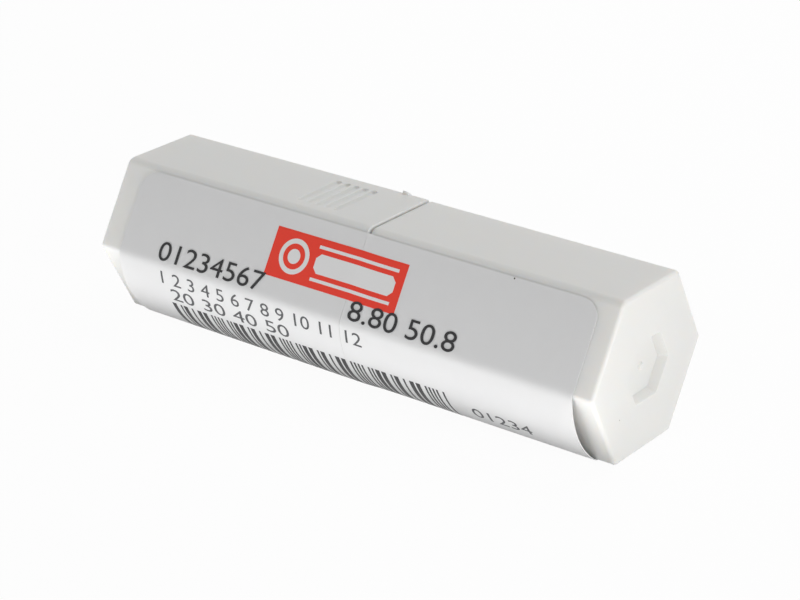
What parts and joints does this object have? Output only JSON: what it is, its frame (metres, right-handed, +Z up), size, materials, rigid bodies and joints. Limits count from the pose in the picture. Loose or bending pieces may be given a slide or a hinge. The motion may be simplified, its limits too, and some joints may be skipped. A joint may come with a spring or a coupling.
{
  "type": "pin gauge case",
  "caption": "Hexagonal white plastic tube case for a cylindrical gauge pin, with a pull-off cap and a wrapped paper label.",
  "frame": {"origin": "under the middle of the case, on the surface that it lies on", "axes": "+X along the case from the cap's closed end to the body's closed end, +Y to the back, +Z up; the thumb grip is on top and the label is on the front (-Y)"},
  "size_m": [0.0622, 0.02, 0.0177],
  "materials": {
    "case_plastic": "satin moulded, slightly warm white",
    "label_paper": "smooth uncoated printed paper",
    "gauge_steel": "ground and lapped"
  },
  "bodies": {
    "case_body": {"case_body": "case_plastic", "label_on_body": "label_paper", "pin_gauge": "gauge_steel"},
    "case_cap": {"case_cap": "case_plastic", "label_on_cap": "label_paper"}
  },
  "joints": [
    {"name": "cap_slide", "type": "slide", "parent": "case_body", "child": "case_cap", "axis": [-1, 0, 0], "range_m": [0, 0.045]}
  ]
}
